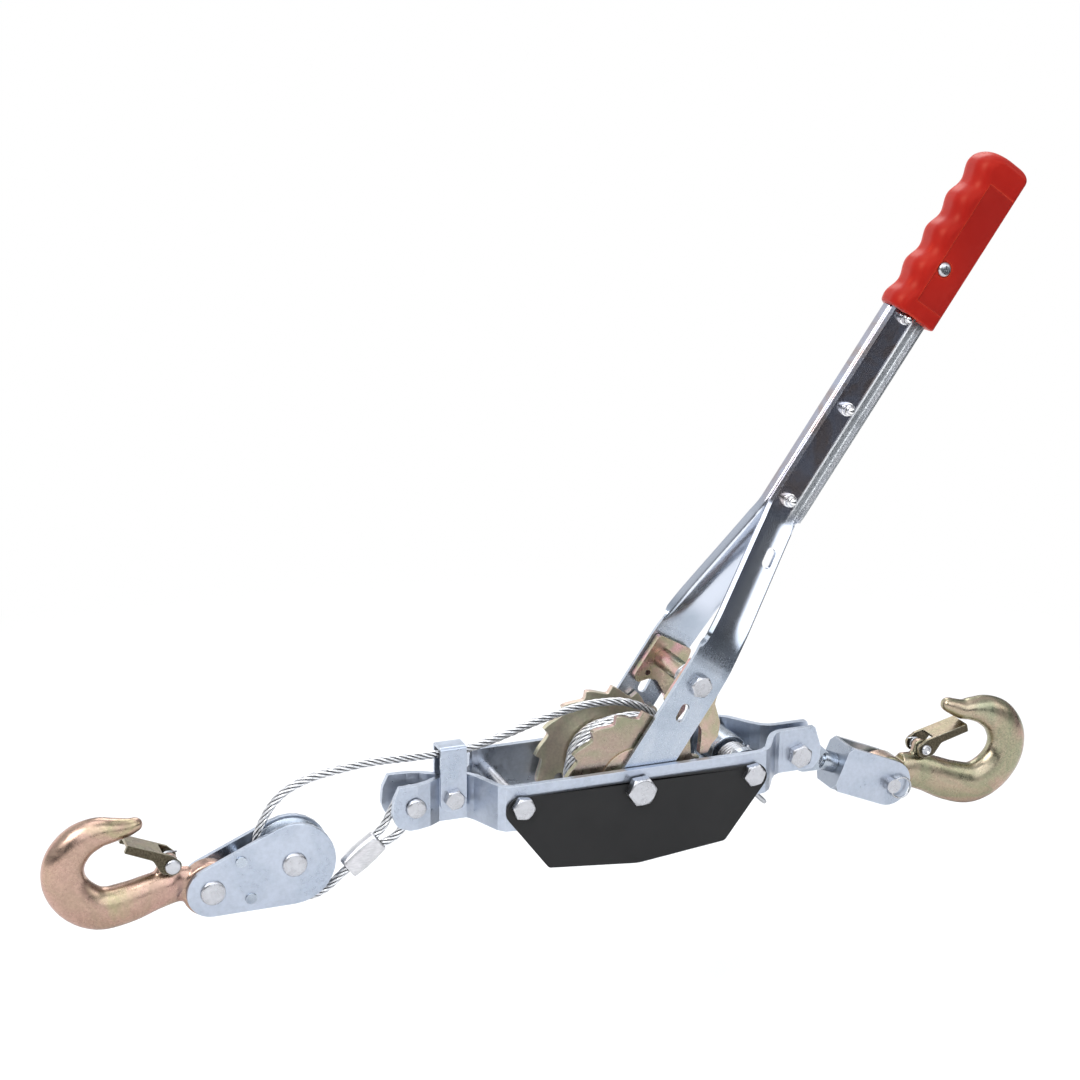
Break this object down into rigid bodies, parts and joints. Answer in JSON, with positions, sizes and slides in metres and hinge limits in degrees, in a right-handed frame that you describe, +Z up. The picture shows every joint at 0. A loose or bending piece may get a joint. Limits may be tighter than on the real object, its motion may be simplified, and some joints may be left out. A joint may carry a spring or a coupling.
{
  "type": "hand cable puller",
  "caption": "Hand lever cable puller with a ratchet drum between pressed side plates, a pulley block on doubled wire rope and two safety hooks.",
  "frame": {"origin": "centre of the drum axle, midway between the two side plates", "axes": "+Z up, +X from the drum towards the rear hook, +Y along the axle away from the bolt heads towards the nuts"},
  "size_m": [0.6156, 0.0838, 0.4078],
  "materials": {
    "zinc_plate": "bright zinc plated sheet steel, satin",
    "zinc_part": "bright zinc plated, smooth",
    "black_cover": "satin black coated sheet steel, plain with no marking",
    "fastener": "pale zinc plated fastener",
    "yellow_zinc": "yellow chromated zinc with a pink and green sheen",
    "wire_rope": "galvanised stranded wire rope",
    "ferrule": "bright pressed aluminium",
    "spring_wire": "bare spring steel wire",
    "grip_red": "glossy red moulded plastic",
    "hook_copper": "yellow chromated forged steel with a copper and pink sheen",
    "hook_gold": "yellow chromated forged steel with a green and orange sheen",
    "latch_olive": "dark yellow chromated sheet steel"
  },
  "bodies": {
    "frame": {"side_plate_near": "zinc_plate", "side_plate_far": "zinc_plate", "cover_plate_near": "black_cover", "cover_plate_far": "black_cover", "axle_bolt": "fastener", "axle_nut": "fastener", "axle_washers": "zinc_part", "cover_bolts": "fastener", "cover_bolt_nuts": "fastener", "cable_guide_strap": "zinc_plate", "guide_strap_bolt": "fastener", "guide_strap_nut": "fastener", "anchor_rivet": "fastener", "rear_bolt": "fastener", "rear_nut": "fastener", "cable_run": "wire_rope", "cable_anchor_loop": "wire_rope", "ferrule": "ferrule"},
    "drum": {"ratchet_wheel_near": "yellow_zinc", "ratchet_wheel_far": "yellow_zinc", "drum_core": "yellow_zinc", "drum_bushing": "zinc_part", "drum_thrust_washers": "yellow_zinc", "cable_winding": "wire_rope"},
    "handle": {"handle_channel_near": "zinc_plate", "handle_channel_far": "zinc_plate", "handle_rivets": "fastener", "grip": "grip_red", "grip_screw": "fastener", "drive_pawl_bolt": "fastener", "drive_pawl_nut": "fastener"},
    "drive_pawl": {"drive_pawl": "yellow_zinc", "drive_pawl_tube": "yellow_zinc", "drive_pawl_spring": "spring_wire"},
    "holding_pawl": {"holding_pawl": "zinc_part", "holding_pawl_tube": "zinc_part", "holding_pawl_spring": "spring_wire", "release_lever": "spring_wire"},
    "rear_link": {"rear_link": "zinc_part"},
    "clevis": {"clevis": "zinc_part", "clevis_pin": "fastener", "clevis_ring": "spring_wire"},
    "rear_hook": {"rear_hook": "hook_gold", "rear_latch_rivet": "fastener"},
    "rear_latch": {"rear_latch": "latch_olive", "rear_latch_spring": "spring_wire"},
    "block": {"block_plate_near": "zinc_plate", "block_plate_far": "zinc_plate", "block_studs": "zinc_part", "sheave_rivet": "fastener", "hook_rivet": "fastener"},
    "sheave": {"sheave": "zinc_part"},
    "front_hook": {"front_hook": "hook_copper", "front_latch_rivet": "fastener"},
    "front_latch": {"front_latch": "latch_olive", "front_latch_spring": "spring_wire"}
  },
  "joints": [
    {"name": "drum_spin", "type": "hinge", "parent": "frame", "child": "drum", "pos_m": [0, 0, 0], "axis": [0, 1, 0], "continuous": true},
    {"name": "handle_swing", "type": "hinge", "parent": "frame", "child": "handle", "pos_m": [0, 0, 0], "axis": [0, 1, 0], "range_deg": [-78, 22.5]},
    {"name": "drive_pawl_turn", "type": "hinge", "parent": "handle", "child": "drive_pawl", "pos_m": [0.03858, 0, 0.05624], "axis": [0, 1, 0], "range_deg": [-14, 5.9], "stiffness_Nm_per_rad": 0.15, "springref_deg": 20.05},
    {"name": "holding_pawl_turn", "type": "hinge", "parent": "frame", "child": "holding_pawl", "pos_m": [0.072, 0, -0.0005], "axis": [0, 1, 0], "range_deg": [-10, 5.2], "stiffness_Nm_per_rad": 0.15, "springref_deg": 20.05},
    {"name": "rear_link_swing", "type": "hinge", "parent": "frame", "child": "rear_link", "pos_m": [0.1165, 0, -0.005], "axis": [0, 1, 0], "range_deg": [-55, 50]},
    {"name": "clevis_swivel", "type": "hinge", "parent": "rear_link", "child": "clevis", "pos_m": [0.1165, 0, -0.005], "axis": [0.9239, 0, -0.3827], "continuous": true},
    {"name": "rear_hook_swing", "type": "hinge", "parent": "clevis", "child": "rear_hook", "pos_m": [0.17785, 0, -0.03041], "axis": [0, 1, 0], "range_deg": [-60, 60]},
    {"name": "rear_latch_open", "type": "hinge", "parent": "rear_hook", "child": "rear_latch", "pos_m": [0.20445, 0, -0.01359], "axis": [0, 1, 0], "range_deg": [0, 30], "stiffness_Nm_per_rad": 0.1, "springref_deg": -11.46},
    {"name": "block_tilt", "type": "hinge", "parent": "frame", "child": "block", "pos_m": [-0.1972, 0, -0.0264], "axis": [0, 1, 0], "range_deg": [-12, 12]},
    {"name": "sheave_spin", "type": "hinge", "parent": "block", "child": "sheave", "pos_m": [-0.1972, 0, -0.0264], "axis": [0, 1, 0], "continuous": true},
    {"name": "front_hook_swing", "type": "hinge", "parent": "block", "child": "front_hook", "pos_m": [-0.2437, 0, -0.036], "axis": [0, 1, 0], "range_deg": [-50, 50]},
    {"name": "front_latch_open", "type": "hinge", "parent": "front_hook", "child": "front_latch", "pos_m": [-0.26546, 0, -0.01702], "axis": [0, 1, 0], "range_deg": [-30, 0], "stiffness_Nm_per_rad": 0.1, "springref_deg": 11.46}
  ]
}
